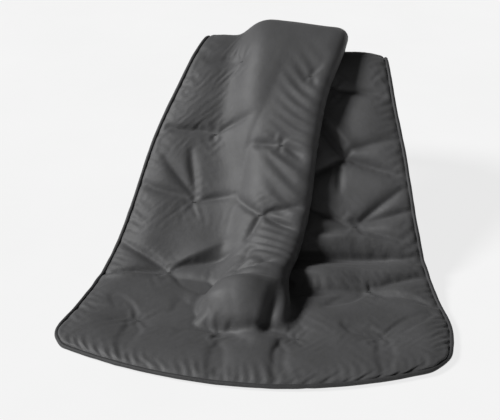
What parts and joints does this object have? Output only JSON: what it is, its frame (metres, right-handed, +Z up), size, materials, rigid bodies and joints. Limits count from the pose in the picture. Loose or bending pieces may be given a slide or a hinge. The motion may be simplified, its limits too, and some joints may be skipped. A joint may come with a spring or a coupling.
{
  "type": "infrared sauna blanket",
  "caption": "Tufted, piped quilt with a far-infrared heater inside, draped in a free-standing A with a lengthwise pleat; power socket on its back end.",
  "frame": {"origin": "on the floor under the middle of the draped quilt's box", "axes": "+Z up, -Y towards the front hem, +X to the right seen from the front hem"},
  "size_m": [0.8202, 1.4677, 0.4506],
  "materials": {
    "face_fabric": "charcoal sateen weave, soft sheen",
    "back_fabric": "charcoal plain weave, matte",
    "wadding": "white polyester wadding",
    "foil": "metallised film",
    "scrim": "thin non-woven cloth",
    "carbon_tape": "woven carbon-fibre heating tape",
    "copper_tape": "tinned copper braid",
    "piping_fabric": "charcoal sateen weave cut on the bias",
    "thread": "charcoal bonded thread",
    "socket_plastic": "fine-grained moulded nylon",
    "insert_plastic": "smooth moulded nylon",
    "contact_metal": "gold-flashed brass",
    "rivet_metal": "plated steel",
    "wire_jacket": "silicone rubber",
    "sensor_plastic": "moulded plastic"
  },
  "bodies": {
    "root": {"back_panel": "back_fabric", "bus_tape_foot": "copper_tape", "bus_tape_head": "copper_tape", "face_panel": "face_fabric", "heater_carrier": "scrim", "heater_cover": "scrim", "heating_tape_1": "carbon_tape", "heating_tape_2": "carbon_tape", "heating_tape_3": "carbon_tape", "inlet_clamp_plate": "rivet_metal", "inlet_contact_1": "contact_metal", "inlet_contact_2": "contact_metal", "inlet_housing": "socket_plastic", "inlet_insert": "insert_plastic", "inlet_rivet_1": "rivet_metal", "inlet_rivet_2": "rivet_metal", "inlet_rivet_3": "rivet_metal", "inlet_rivet_4": "rivet_metal", "lower_batting": "wadding", "piping": "piping_fabric", "power_lead_1": "wire_jacket", "power_lead_2": "wire_jacket", "reflective_barrier": "foil", "return_tape": "copper_tape", "sensor_lead": "wire_jacket", "temperature_sensor": "sensor_plastic", "thermal_cutout": "sensor_plastic", "tuft_ties_01": "thread", "tuft_ties_02": "thread", "tuft_ties_03": "thread", "tuft_ties_04": "thread", "tuft_ties_05": "thread", "tuft_ties_06": "thread", "tuft_ties_07": "thread", "tuft_ties_08": "thread", "tuft_ties_09": "thread", "tuft_ties_10": "thread", "upper_batting": "wadding"}
  },
  "joints": []
}
